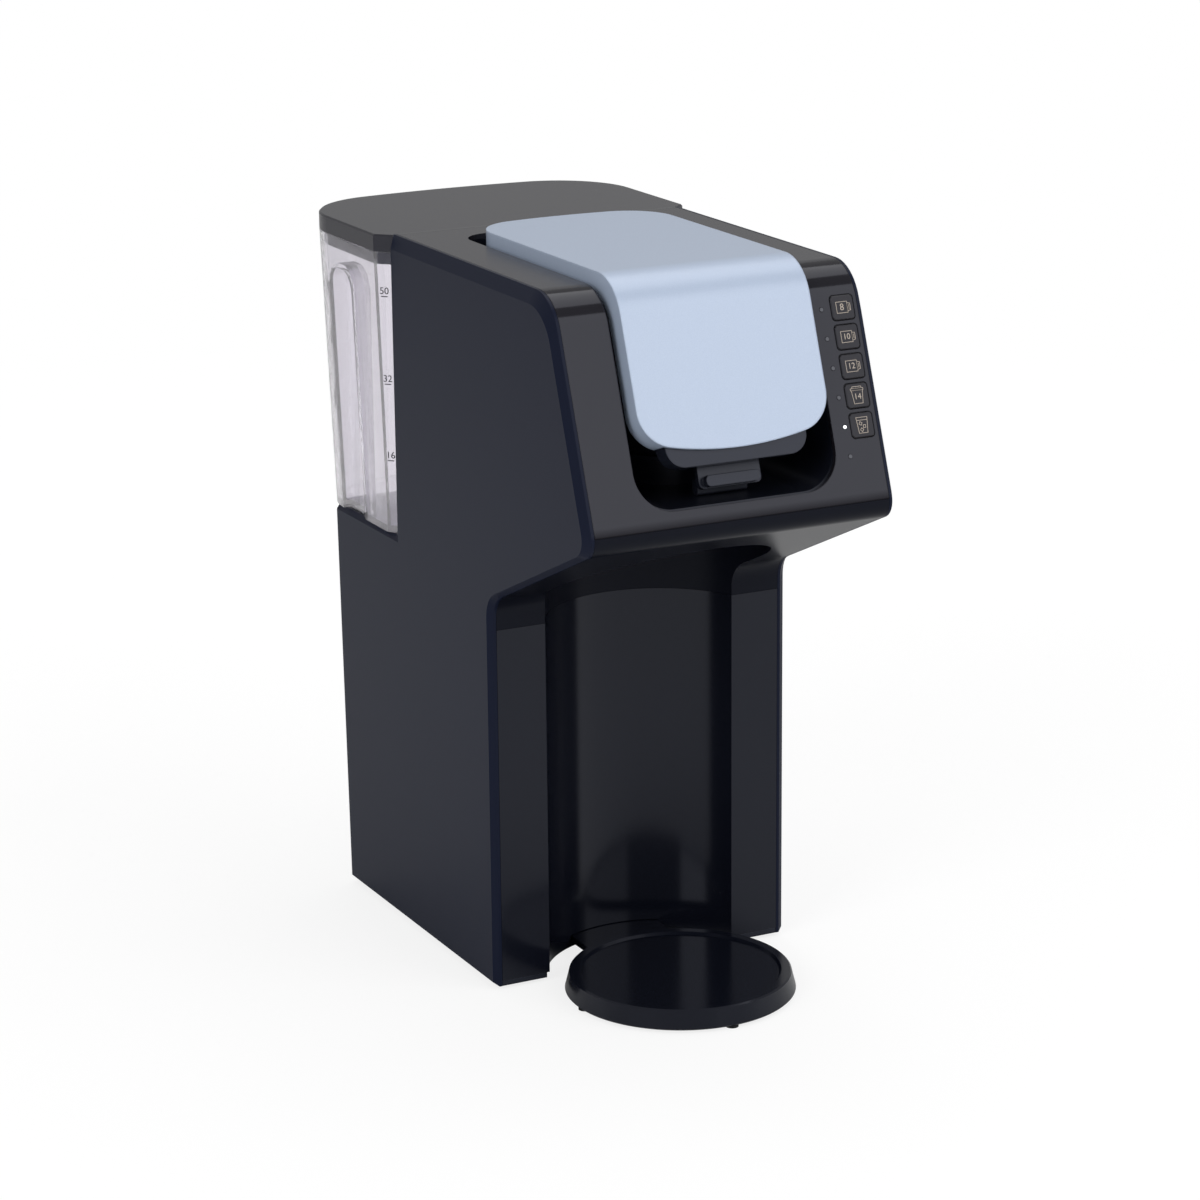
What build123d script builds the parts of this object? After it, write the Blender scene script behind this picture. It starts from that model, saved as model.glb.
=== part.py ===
"""Single-cup pod coffee maker with a lift-off water tank, a hinged brew lid and a round cup rest.

Millimetres, +Z up, +X to the right of someone facing the machine, -Y towards them.
The origin is the centre of the whole outline on the counter.
"""

import os
from math import cos, radians, sin, tan

from build123d import *

# Driving dimensions: the casing
overall_depth = 311.0
body_width = 155.0
head_reach = 100.5  # the lip ahead of the pillar fronts
body_depth = 170.0  # pillar fronts to the foot of the back
back_lean = 6.0  # how far the back leans out at the shelf
deck_height = 342.0
shelf_height = deck_height - 146.0
deck_length = 102.0  # pillar fronts to the tank's wall
knee_height = deck_height - 152.5
underside_rise = 0.447  # rise of the head's underside per mm forward
face_tilt = 19.8  # the front face's lean from upright, degrees
face_foot_height = deck_height - 100.3  # lower seam of the front panel
ground_gap = 2.0  # the casing's height over the counter
side_thickness = 4.0
side_border_top = 6.5  # width of the sloped border round each side, along the deck
side_border_face = 4.2  # along the control face
side_border_edge = 2.0  # along every other edge
side_border_drop = 2.6
panel_wall = 2.6
seam_gap = 0.15  # joint line between casing panels
running_gap = 0.4  # between pieces that move past each other
knee_radius = 14.0
lip_radius = 9.0
brow_radius = 22.0
brow_seam = 53.0  # the deck's front edge ahead of the pillar fronts

# Driving dimensions: the cup bay and cup rest
bay_radius = 52.0
bay_centre_reach = 18.0
bay_ceiling = deck_height - 118.0
outlet_radius = 7.5
base_thickness = 2.6
foot_radius = 9.0
foot_inset = 16.0
screw_radius = 1.6
screw_head_radius = 3.0
boss_radius = 5.0
rest_radius = 54.0
rest_top_radius = 52.0
rest_height = 11.0
rest_reach = 39.0  # its centre ahead of the pillar fronts
rest_dish_depth = 1.2
rest_dish_radius = 46.0
rest_wall = 2.4
rest_lift = 1.6
rest_tongue_width = 46.0
rest_tongue_length = 66.0  # behind the pillar fronts

# Driving dimensions: the front opening, well and pod basket
fascia_bar = 27.2  # the control face beside its opening
opening_half_width = body_width / 2 - fascia_bar
opening_bottom = deck_height - 93.2
opening_corner = 18.0
well_wall = 2.2
well_back = 58.0  # the well's back wall behind the pillar fronts
trough_back = 83.5
deck_opening_corner = 14.0
trough_floor = deck_height - 14.0
basket_reach = 28.0  # the basket's axis ahead of the pillar fronts
basket_radius = 28.0
basket_wall = 2.0
basket_flange = 3.5
basket_seat = opening_bottom + 11.0
basket_top = basket_seat + 26.0
basket_floor = bay_ceiling + 16.0
spout_radius = 5.0
spout_bottom = bay_ceiling - 5.0

# Driving dimensions: the lid
lid_side_gap = 3.3
lid_half_width = opening_half_width - lid_side_gap
lid_top = deck_height + 5.5
lid_proud = 6.2  # the lid's face ahead of the front panel's face
lid_lower_edge = deck_height - 71.0
lid_rear = 80.0  # behind the pillar fronts
lid_wall = 2.4
lid_skirt = 12.0
lid_crease_radius = 23.0
lid_rear_corner = 24.0
lid_front_corner = 17.0
lid_rear_bow = 5.0
lid_front_bow = 7.0
hinge_reach = 71.0  # the hinge axis behind the pillar fronts
hinge_height = deck_height - 2.5
hinge_pin_radius = 1.5
hinge_knuckle_radius = 3.0
hinge_ear_width = 5.0
hinge_span = 30.0
liner_half_width = lid_half_width - 6.0
liner_thickness = 2.0
boss_reach_radius = 19.0
boss_bottom = basket_top + 10.0
needle_radius = 1.6
needle_tip = basket_top - 5.0
latch_half_width = 15.5
latch_thickness = 3.0
latch_depth = 10.5  # behind the front panel's face
latch_pivot_height = lid_lower_edge + 8.5
latch_bottom_height = opening_bottom + 8.7
band_half_width = lid_half_width - 12.0  # the liner's band under the lid's front edge
band_drop = 5.5
band_depth = 5.4

# Driving dimensions: buttons and lights
button_size = 11.4
button_height = 11.0
button_corner = 1.6
button_gap = 0.3
button_pitch = 13.25
button_proud = 0.5
button_flange = 0.8
button_inset = 11.9  # the buttons' middle from the casing's side
button_x = body_width / 2 - button_inset
top_button_height = deck_height - 18.3
light_x = button_x - 10.7
light_step = 0.46  # each light stands this much further out than the one above
light_radius = 0.9
button_names = ["button_8_oz", "button_10_oz", "button_12_oz", "button_14_oz", "button_iced"]
board_thickness = 1.6
board_depth = 9.0  # the board's face behind the front panel's face

# Driving dimensions: the water tank
tank_half_width = 82.0
tank_back_corner = 42.0
tank_bow = 8.0
tank_wall = 2.2
tank_floor_wall = 3.0
tank_rim = deck_height - 9.0
tank_draft = 2.0
tank_gap = 0.8
tank_front_corner = 7.0
tank_lid_top = deck_height - 0.6
tank_lid_skirt = 6.0
grip_width = 26.0
grip_depth = 9.0
grip_top = deck_height - 24.0
grip_offset = 50.5  # the grip channel's middle behind the deck's back
valve_reach = 34.0  # the valve's axis behind the deck's back
valve_hole_radius = 5.0
spigot_radius = 10.0
spigot_drop = 7.0

# Places that follow from the driving dimensions
front_y = -overall_depth / 2
back_y = overall_depth / 2
pillar_y = front_y + head_reach
half_width = body_width / 2
inner_half = half_width - side_thickness - seam_gap
deck_back_y = pillar_y + deck_length
brow_y = pillar_y - brow_seam
face_slope = tan(radians(face_tilt))
face_out = Vector(0, -cos(radians(face_tilt)), sin(radians(face_tilt)))
lip_y = pillar_y - head_reach
bay_y = pillar_y - bay_centre_reach
rest_y = pillar_y - rest_reach
basket_y = pillar_y - basket_reach
hinge_y = pillar_y + hinge_reach
valve_y = deck_back_y + valve_reach
base_top = ground_gap + base_thickness
along_face = button_pitch * cos(radians(face_tilt))
button_heights = [top_button_height - i * along_face for i in range(len(button_names))]
light_heights = button_heights + [button_heights[-1] - along_face]
light_spots = [(light_x + i * light_step, z) for i, z in enumerate(light_heights)]


def face_y(z, proud=0.0):
    """Y of the front face at height z, or of a face that stands proud of it."""
    return lip_y + face_slope * (z - face_foot_height) - proud / cos(radians(face_tilt))


def face_plane(x, z, depth=0.0):
    """A plane on the front face at x, z, or depth behind it, its normal pointing out of the machine."""
    return Plane(origin=Vector(x, face_y(z), z) - face_out * depth, x_dir=(1, 0, 0), z_dir=face_out)


def side_face(corners, inset=0.0):
    """A face in Plane.YZ's own coordinates through corners (y, z, radius), drawn in by inset."""
    with BuildSketch() as outline:
        with BuildLine():
            Polyline(*[(y, z) for y, z, radius in corners], close=True)
        make_face()
        for y, z, radius in corners:
            if radius:
                fillet(outline.vertices().sort_by_distance(Vector(y, z, 0))[0], radius)
        if inset:
            offset(amount=-inset, kind=Kind.INTERSECTION, mode=Mode.REPLACE)
    return outline.sketch


lip_z = (
    knee_height + underside_rise * (pillar_y - lip_y + face_slope * face_foot_height)
) / (1 + underside_rise * face_slope)
casing_corners = [
    (pillar_y, ground_gap, 0),
    (pillar_y, knee_height, knee_radius),
    (face_y(lip_z), lip_z, lip_radius),
    (face_y(deck_height), deck_height, brow_radius),
    (deck_back_y, deck_height, 0),
    (deck_back_y, shelf_height, 0),
    (pillar_y + body_depth + back_lean, shelf_height, 0),
    (pillar_y + body_depth, ground_gap, 0),
]
casing_outline = side_face(casing_corners)
casing_inner = side_face(casing_corners, panel_wall)
casing_clear = side_face(casing_corners, panel_wall + seam_gap)


def casing_band(y_low, z_low, y_high, z_high):
    """The casing's wall inside a box, in Plane.YZ's own coordinates."""
    with BuildSketch() as band:
        add(casing_outline)
        add(casing_inner, mode=Mode.SUBTRACT)
        with Locations(((y_low + y_high) / 2, (z_low + z_high) / 2)):
            Rectangle(y_high - y_low, z_high - z_low, mode=Mode.INTERSECT)
    return band.sketch


def plan_box(x_half, y_low, y_high):
    """A centred rectangle between two y values, made in the current sketch."""
    with Locations((0, (y_low + y_high) / 2)):
        Rectangle(2 * x_half, y_high - y_low)


def save(part, label, colour):
    """Labels a finished piece and writes its STEP file."""
    part.label = label
    part.color = Color(*colour)
    os.makedirs("parts", exist_ok=True)
    export_step(part, f"parts/{label}.step")


gloss_black = (0.02, 0.02, 0.03)
satin_black = (0.05, 0.05, 0.06)
ice_blue = (0.55, 0.66, 0.82)
clear_violet = (0.8, 0.84, 0.92)
plain_steel = (0.7, 0.7, 0.7)
dark_rubber = (0.04, 0.04, 0.04)
pale_plastic = (0.8, 0.8, 0.78)

# Side panels: plates with a sloped border, hollowed behind and stiffened by ribs
rib_pitch = 44.0
rib_width = 2.0
side_pocket = 1.2
side_rim = 8.5
side_borders = [side_border_edge] * len(casing_corners)
side_borders[2] = side_border_face
side_borders[3] = side_border_top


def bordered(corners, borders):
    """The corners moved in so that the edge leaving each corner is drawn in by its border."""
    moved = []
    for i, (y, z, radius) in enumerate(corners):
        before = Vector(*corners[i - 1][:2])
        here = Vector(y, z)
        after = Vector(*corners[(i + 1) % len(corners)][:2])
        along_in = (here - before).normalized()
        along_out = (after - here).normalized()
        turn = along_in.X * along_out.Y - along_in.Y * along_out.X
        shift = (along_in * borders[i] - along_out * borders[i - 1]) * (1 / turn)
        moved.append((y + shift.X, z + shift.Y, radius))
    return moved


with BuildPart() as side_panel:
    with BuildSketch(Plane.YZ.offset(half_width - side_thickness)):
        add(casing_outline)
    extrude(amount=side_thickness - side_border_drop)
    with BuildSketch(Plane.YZ.offset(half_width - side_border_drop)):
        add(casing_outline)
    with BuildSketch(Plane.YZ.offset(half_width)):
        add(side_face(bordered(casing_corners, side_borders)))
    loft(ruled=True)
    with BuildSketch(Plane.YZ.offset(half_width - side_thickness)):
        add(side_face(casing_corners, side_rim))
        with GridLocations(rib_pitch, 1, 7, 1):
            Rectangle(rib_width, 3 * deck_height, mode=Mode.SUBTRACT)
        with GridLocations(1, rib_pitch, 1, 17):
            Rectangle(2 * overall_depth, rib_width, mode=Mode.SUBTRACT)
    extrude(amount=side_pocket, mode=Mode.SUBTRACT)
save(side_panel.part, "right_side_panel", satin_black)
save(mirror(side_panel.part, about=Plane.YZ), "left_side_panel", satin_black)

# Front panel: one curved moulding from the lip to the brow, with a U opening for the lid
post_heights = [top_button_height + 9.2, light_heights[-1] - 8.0]
with BuildPart() as front_panel:
    with BuildSketch(Plane.YZ.offset(-inner_half)):
        add(casing_band(front_y - 5, face_foot_height, brow_y, deck_height + 5))
    extrude(amount=2 * inner_half)
    for z in post_heights:
        with BuildSketch(face_plane(62, z, board_depth)):
            Circle(1.6)
        extrude(amount=board_depth - panel_wall / 2)
    with BuildSketch(face_plane(0, opening_bottom)):
        with Locations((0, 80)):
            RectangleRounded(2 * opening_half_width, 160, opening_corner)
    extrude(amount=30, both=True, mode=Mode.SUBTRACT)
    for z in button_heights:
        with BuildSketch(face_plane(button_x, z)):
            RectangleRounded(
                button_size + 2 * button_gap, button_height + 2 * button_gap, button_corner + button_gap
            )
        extrude(amount=8, both=True, mode=Mode.SUBTRACT)
    for x, z in light_spots:
        with BuildSketch(face_plane(x, z)):
            Circle(light_radius + 0.05)
        extrude(amount=8, both=True, mode=Mode.SUBTRACT)
save(front_panel.part, "front_panel", gloss_black)

deck_under = deck_height - panel_wall

# Top deck, with the same opening carried back over the hinge trough
with BuildPart() as top_deck:
    with BuildSketch(Plane.YZ.offset(-inner_half)):
        add(
            casing_band(
                brow_y + seam_gap, deck_height - 6, deck_back_y - panel_wall - seam_gap, deck_height + 5
            )
        )
    extrude(amount=2 * inner_half)
    with BuildSketch(Plane.XY.offset(deck_height - 8)):
        plan_box(opening_half_width, brow_y - 10, pillar_y + trough_back)
    extrude(amount=16, mode=Mode.SUBTRACT)
    with BuildSketch(Plane.XY.offset(deck_under)):
        with Locations((0, pillar_y + trough_back - deck_opening_corner / 2)):
            Rectangle(2 * opening_half_width, deck_opening_corner)
        with Locations((0, pillar_y + trough_back - opening_half_width)):
            RectangleRounded(
                2 * opening_half_width, 2 * opening_half_width, deck_opening_corner, mode=Mode.SUBTRACT
            )
    extrude(amount=deck_height - deck_under)
save(top_deck.part, "top_deck", gloss_black)

# Brew well: an open tub behind the front opening, with the hinge trough and ears at its back
opening_centre_z = opening_bottom + 80
with BuildPart() as brew_well:
    with BuildSketch(Plane.XZ.offset(-(pillar_y + well_back + well_wall))):
        with Locations((0, opening_centre_z)):
            RectangleRounded(
                2 * (opening_half_width + well_wall), 160 + 2 * well_wall, opening_corner + well_wall
            )
    extrude(amount=well_back + head_reach)
    with BuildSketch(Plane.XY.offset(trough_floor - well_wall)):
        plan_box(
            opening_half_width + well_wall, pillar_y + well_back, pillar_y + trough_back + well_wall
        )
    extrude(amount=40)
    with BuildSketch(Plane.YZ.offset(-inner_half)):
        add(casing_clear)
        with Locations((0, deck_under - seam_gap + 50)):
            Rectangle(4 * overall_depth, 100, mode=Mode.SUBTRACT)
    extrude(amount=2 * inner_half, mode=Mode.INTERSECT)
    with BuildSketch(Plane.XZ.offset(-(pillar_y + well_back))):
        with Locations((0, opening_centre_z)):
            RectangleRounded(2 * opening_half_width, 160, opening_corner)
    extrude(amount=well_back + head_reach, mode=Mode.SUBTRACT)
    with BuildSketch(Plane.XY.offset(trough_floor)):
        plan_box(opening_half_width, pillar_y + well_back - 5, pillar_y + trough_back)
    extrude(amount=40, mode=Mode.SUBTRACT)
    with BuildSketch(Plane.XY.offset(opening_bottom - well_wall)):
        with Locations((0, basket_y)):
            Circle(basket_radius + basket_flange)
    extrude(amount=basket_seat - opening_bottom + well_wall)
    with BuildSketch(Plane.XY.offset(opening_bottom - 10)):
        with Locations((0, basket_y)):
            Circle(basket_radius + 0.1)
    extrude(amount=40, mode=Mode.SUBTRACT)
    for x in (-hinge_span, hinge_span - hinge_ear_width):
        with BuildSketch(Plane.YZ.offset(x)):
            with Locations((hinge_y, hinge_height)):
                Circle(hinge_knuckle_radius)
            with Locations((hinge_y, (hinge_height + trough_floor - 1) / 2)):
                Rectangle(2 * hinge_knuckle_radius, hinge_height - trough_floor + 1)
        extrude(amount=hinge_ear_width)
    with BuildSketch(Plane.YZ.offset(-hinge_span - 1)):
        with Locations((hinge_y, hinge_height)):
            Circle(hinge_pin_radius)
    extrude(amount=2 * hinge_span + 2, mode=Mode.SUBTRACT)
save(brew_well.part, "brew_well", gloss_black)

# Hinge pin, held in the two ears
with BuildPart() as hinge_pin:
    with BuildSketch(Plane.YZ.offset(-hinge_span)):
        with Locations((hinge_y, hinge_height)):
            Circle(hinge_pin_radius)
    extrude(amount=2 * hinge_span)
save(hinge_pin.part, "lid_hinge_pin", plain_steel)

# Catch on the well's floor, a rounded bump the lid's latch snaps past
catch_depth = latch_depth + latch_thickness + running_gap + 3.5
with BuildPart() as well_catch:
    with BuildSketch(Plane.YZ.offset(-latch_half_width + 3)):
        with Locations((face_y(opening_bottom) + catch_depth + 3, opening_bottom + 3.5)):
            RectangleRounded(5, 7, 1.2)
    extrude(amount=2 * latch_half_width - 6)
save(well_catch.part, "well_catch", satin_black)

# Pod basket: a flanged cup with a spout through the bay's ceiling
with BuildPart() as pod_basket:
    with BuildSketch(Plane.XY.offset(basket_floor)):
        with Locations((0, basket_y)):
            Circle(basket_radius)
    extrude(amount=basket_top - basket_floor)
    with BuildSketch(Plane.XY.offset(basket_seat)):
        with Locations((0, basket_y)):
            Circle(basket_radius + basket_flange)
    extrude(amount=basket_wall)
    with BuildSketch(Plane.XY.offset(basket_floor + basket_wall)):
        with Locations((0, basket_y)):
            Circle(basket_radius - basket_wall)
    extrude(amount=basket_top - basket_floor, mode=Mode.SUBTRACT)
    with BuildSketch(Plane.XY.offset(spout_bottom)):
        with Locations((0, basket_y)):
            Circle(spout_radius)
    extrude(amount=basket_floor - spout_bottom)
    with BuildSketch(Plane.XY.offset(spout_bottom)):
        with Locations((0, basket_y)):
            Circle(spout_radius - basket_wall)
    extrude(amount=basket_floor - spout_bottom + 10, mode=Mode.SUBTRACT)
    basket_rims = pod_basket.edges().filter_by(GeomType.CIRCLE).group_by(Axis.Z)[-1]
    chamfer(basket_rims, basket_wall / 3)
save(pod_basket.part, "pod_basket", satin_black)

# Lower needle: a ring with a hollow point, standing on the basket's floor
with BuildPart() as lower_needle:
    with BuildSketch(Plane.XY.offset(basket_floor + basket_wall)):
        with Locations((0, basket_y)):
            Circle(spout_radius + 4)
            Circle(spout_radius - basket_wall, mode=Mode.SUBTRACT)
    extrude(amount=1.6)
    with BuildSketch(Plane.XY.offset(basket_floor + basket_wall + 1.6)):
        with Locations((spout_radius + 1, basket_y)):
            Circle(needle_radius)
    extrude(amount=9, taper=8)
save(lower_needle.part, "lower_needle", plain_steel)

# Head underside: the lip and the sloped underside, with the bay's ceiling and coffee outlet
bay_foot = knee_height - knee_radius
with BuildPart() as head_underside:
    with BuildSketch(Plane.YZ.offset(-inner_half)):
        add(
            casing_band(front_y - 5, bay_foot, pillar_y + panel_wall, face_foot_height - seam_gap)
        )
    extrude(amount=2 * inner_half)
    with BuildSketch(Plane.XY.offset(bay_foot)):
        with Locations((0, bay_y)):
            Circle(bay_radius + panel_wall)
    extrude(amount=bay_ceiling + panel_wall - bay_foot)
    with BuildSketch(Plane.YZ.offset(-inner_half)):
        add(casing_outline)
    extrude(amount=2 * inner_half, mode=Mode.INTERSECT)
    with BuildSketch(Plane.XY.offset(bay_foot)):
        with Locations((0, bay_y)):
            Circle(bay_radius)
    extrude(amount=bay_ceiling - bay_foot, mode=Mode.SUBTRACT)
    with BuildSketch(Plane.XY.offset(bay_foot)):
        with Locations((0, basket_y)):
            Circle(outlet_radius)
    extrude(amount=bay_ceiling, mode=Mode.SUBTRACT)
save(head_underside.part, "head_underside", gloss_black)

# Bay wall: the two pillar fronts and the curved wall between them, cut away for the cup rest's tongue
tongue_bottom = base_top + running_gap
tongue_top = tongue_bottom + 3.2
with BuildPart() as bay_wall:
    with BuildSketch(Plane.XY.offset(base_top)):
        with Locations((0, bay_y)):
            Circle(bay_radius + panel_wall)
        plan_box(inner_half, pillar_y, pillar_y + panel_wall)
        with Locations((0, pillar_y - 2 * bay_radius)):
            Rectangle(4 * bay_radius, 4 * bay_radius, mode=Mode.SUBTRACT)
        with Locations((0, bay_y)):
            Circle(bay_radius, mode=Mode.SUBTRACT)
    extrude(amount=bay_foot - seam_gap - base_top)
    with BuildSketch(Plane.XY.offset(base_top)):
        plan_box(rest_tongue_width / 2 + running_gap, pillar_y - 1, pillar_y + bay_radius)
    extrude(amount=tongue_top + running_gap - base_top, mode=Mode.SUBTRACT)
save(bay_wall.part, "bay_wall", gloss_black)

# Base plate with the bay cut away, its four screws and four rubber feet
foot_spots = [
    (side * (inner_half - foot_inset), y)
    for side in (-1, 1)
    for y in (pillar_y + foot_inset, pillar_y + body_depth - foot_inset)
]
screw_spots = [
    (side * (inner_half - foot_inset), y)
    for side in (-1, 1)
    for y in (pillar_y + 2.4 * foot_inset, pillar_y + body_depth - 2.4 * foot_inset)
]
with BuildPart() as base_plate:
    with BuildSketch(Plane.XY.offset(ground_gap)):
        plan_box(inner_half, pillar_y + seam_gap, pillar_y + body_depth - panel_wall - seam_gap)
        with Locations((0, bay_y)):
            Circle(bay_radius + panel_wall / 2, mode=Mode.SUBTRACT)
    extrude(amount=base_thickness)
    with BuildSketch(Plane.XY.offset(base_top)):
        with Locations(*screw_spots):
            Circle(boss_radius)
    extrude(amount=9)
    with BuildSketch(Plane.XY.offset(ground_gap)):
        with Locations(*screw_spots):
            Circle(screw_radius)
    extrude(amount=20, mode=Mode.SUBTRACT)
    with BuildSketch(Plane.XY.offset(ground_gap)):
        with Locations(*screw_spots):
            Circle(screw_head_radius + 0.2)
    extrude(amount=1.4, mode=Mode.SUBTRACT)
save(base_plate.part, "base_plate", satin_black)

with BuildPart() as base_screws:
    with BuildSketch(Plane.XY.offset(ground_gap + 0.1)):
        with Locations(*screw_spots):
            Circle(screw_head_radius)
    extrude(amount=1.3)
    with BuildSketch(Plane.XY.offset(ground_gap + 1.4)):
        with Locations(*screw_spots):
            Circle(screw_radius)
    extrude(amount=8)
    with BuildSketch(Plane.XY.offset(ground_gap + 0.1)):
        with Locations(*screw_spots):
            Rectangle(3.6, 0.8)
            Rectangle(0.8, 3.6)
    extrude(amount=0.8, mode=Mode.SUBTRACT)
save(base_screws.part, "base_screws", plain_steel)

with BuildPart() as rubber_feet:
    with BuildSketch(Plane.XY):
        with Locations(*foot_spots):
            Circle(foot_radius)
    extrude(amount=ground_gap)
    chamfer(rubber_feet.edges().group_by(Axis.Z)[0], 0.5)
save(rubber_feet.part, "rubber_feet", dark_rubber)

# Rear cover with the cord gland
gland_radius = 6.0
gland_height = 30.0
gland_x = -half_width + 32.5
gland_y = pillar_y + body_depth + back_lean * (gland_height - ground_gap) / (shelf_height - ground_gap)
shelf_under = shelf_height - panel_wall
with BuildPart() as rear_cover:
    with BuildSketch(Plane.YZ.offset(-inner_half)):
        add(
            casing_band(
                pillar_y + body_depth - 20, base_top + seam_gap, back_y, shelf_under - seam_gap
            )
        )
    extrude(amount=2 * inner_half)
    with BuildSketch(Plane.XZ.offset(-(gland_y + 10))):
        with Locations((gland_x, gland_height)):
            Circle(gland_radius)
    extrude(amount=30, mode=Mode.SUBTRACT)
save(rear_cover.part, "rear_cover", gloss_black)

with BuildPart() as cord_gland:
    with BuildSketch(Plane.XZ.offset(-(gland_y + 2.5))):
        with Locations((gland_x, gland_height)):
            Circle(gland_radius)
    extrude(amount=11)
    with BuildSketch(Plane.XZ.offset(-(gland_y + 2.5))):
        with Locations((gland_x, gland_height)):
            Circle(gland_radius + 2)
    extrude(amount=1.8)
    with BuildSketch(Plane.XZ.offset(-(gland_y + 2.5))):
        with Locations((gland_x, gland_height)):
            Circle(gland_radius - 2.4)
    extrude(amount=12, mode=Mode.SUBTRACT)
save(cord_gland.part, "cord_gland", dark_rubber)

# Tank cradle: the shelf and the wall the tank stands against, with a socket for its spigot
socket_radius = spigot_radius + 1.6
with BuildPart() as tank_cradle:
    with BuildSketch(Plane.YZ.offset(-inner_half)):
        add(casing_band(deck_back_y - panel_wall, shelf_under, back_y, deck_height + 5))
    extrude(amount=2 * inner_half)
    with BuildSketch(Plane.XY.offset(shelf_height - spigot_drop - 6)):
        with Locations((0, valve_y)):
            Circle(socket_radius + 2)
    extrude(amount=spigot_drop + 6)
    with BuildSketch(Plane.XY.offset(shelf_height - spigot_drop - 3.6)):
        with Locations((0, valve_y)):
            Circle(socket_radius)
    extrude(amount=spigot_drop + 6, mode=Mode.SUBTRACT)
    with BuildSketch(Plane.XY.offset(shelf_height - spigot_drop - 8)):
        with Locations((0, valve_y)):
            Circle(3)
    extrude(amount=12, mode=Mode.SUBTRACT)
save(tank_cradle.part, "tank_cradle", gloss_black)

# Inlet seat: the fitting in the socket that lifts the tank's valve and feeds the pump
seat_bottom = shelf_height - spigot_drop - 3.6
with BuildPart() as inlet_seat:
    with BuildSketch(Plane.XY.offset(seat_bottom)):
        with Locations((0, valve_y)):
            Circle(7)
    extrude(amount=1.4)
    with BuildSketch(Plane.XY.offset(seat_bottom - 14)):
        with Locations((0, valve_y)):
            Circle(3)
    extrude(amount=16)
    with BuildSketch(Plane.XY.offset(seat_bottom - 14)):
        with Locations((0, valve_y)):
            Circle(1.8)
    extrude(amount=18, mode=Mode.SUBTRACT)
save(inlet_seat.part, "inlet_seat", pale_plastic)

# Water tank: a tapered clear tub with a finger channel up each side
tank_front_y = deck_back_y + tank_gap
tank_floor_z = shelf_height + running_gap


def tank_plan(inset=0.0):
    """The tank's outline seen from above at its rim, drawn in by inset, made as a sketch."""
    with BuildSketch() as plan:
        side = tank_half_width
        shoulder = back_y - tank_bow
        with BuildLine():
            Polyline((-side, shoulder), (-side, tank_front_y), (side, tank_front_y), (side, shoulder))
            ThreePointArc((side, shoulder), (0, back_y), (-side, shoulder))
        make_face()
        fillet(plan.vertices().group_by(Axis.Y)[-1], tank_back_corner)
        chamfer(plan.vertices().group_by(Axis.Y)[0], tank_front_corner)
        if inset:
            offset(amount=-inset, kind=Kind.INTERSECTION, mode=Mode.REPLACE)
    return plan.sketch


def tank_solid(inset, top, bottom):
    """The tank's tapered solid between two heights, drawn in by inset."""
    with BuildPart() as solid:
        with BuildSketch(Plane.XY.offset(top)):
            add(tank_plan(inset + (tank_rim - top) * tan(radians(tank_draft))))
        extrude(amount=-(top - bottom), taper=tank_draft)
    return solid.part


grip_y = deck_back_y + grip_offset
grip_height = grip_top - tank_floor_z + 30
grip_corner = 10
with BuildPart() as water_cavity:
    add(tank_solid(tank_wall, tank_rim, tank_floor_z + tank_floor_wall))
    for side in (-1, 1):
        with BuildSketch(Plane.YZ.offset(side * (tank_half_width - grip_depth - tank_wall))):
            with Locations((grip_y, grip_top - grip_height / 2)):
                RectangleRounded(
                    grip_width + 2 * tank_wall, grip_height + 2 * tank_wall, grip_corner + tank_wall
                )
        extrude(amount=side * 30, mode=Mode.SUBTRACT)
with BuildPart() as water_tank:
    add(tank_solid(0, tank_rim, tank_floor_z))
    for side in (-1, 1):
        with BuildSketch(Plane.YZ.offset(side * (tank_half_width - grip_depth))):
            with Locations((grip_y, grip_top - grip_height / 2)):
                RectangleRounded(grip_width, grip_height, grip_corner)
        extrude(amount=side * 30, mode=Mode.SUBTRACT)
    with BuildSketch(Plane.XY.offset(tank_floor_z - spigot_drop)):
        with Locations((0, valve_y)):
            Circle(spigot_radius)
    extrude(amount=spigot_drop + 1)
    add(water_cavity.part, mode=Mode.SUBTRACT)
    with BuildSketch(Plane.XY.offset(tank_floor_z - spigot_drop)):
        with Locations((0, valve_y)):
            Circle(valve_hole_radius)
    extrude(amount=30, mode=Mode.SUBTRACT)
save(water_tank.part, "water_tank", clear_violet)

# Tank spigot ring and valve
with BuildPart() as spigot_ring:
    with BuildSketch(Plane.XY.offset(tank_floor_z - spigot_drop + 2)):
        with Locations((0, valve_y)):
            Circle(spigot_radius + 1.2)
            Circle(spigot_radius, mode=Mode.SUBTRACT)
    extrude(amount=2.4)
    chamfer(spigot_ring.edges().filter_by(GeomType.CIRCLE).sort_by(SortBy.RADIUS)[-2:], 0.5)
save(spigot_ring.part, "spigot_ring", dark_rubber)

valve_head_radius = valve_hole_radius + 3
valve_seat_z = tank_floor_z + tank_floor_wall
with BuildPart() as tank_valve:
    with BuildSketch(Plane.XY.offset(valve_seat_z + 0.3)):
        with Locations((0, valve_y)):
            Circle(valve_head_radius)
    extrude(amount=2.4)
    with BuildSketch(Plane.XY.offset(seat_bottom + 2.4)):
        with Locations((0, valve_y)):
            Circle(2.2)
    extrude(amount=valve_seat_z + 0.3 - seat_bottom - 2.4)
    for turn in (0, 90):
        with BuildSketch(Plane.XY.offset(tank_floor_z - spigot_drop + 1)):
            with Locations((0, valve_y)):
                Rectangle(2 * (valve_hole_radius - running_gap), 1.2, rotation=turn)
        extrude(amount=spigot_drop + 2)
    chamfer(tank_valve.edges().group_by(Axis.Z)[-1], 0.8)
save(tank_valve.part, "tank_valve", pale_plastic)

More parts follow.
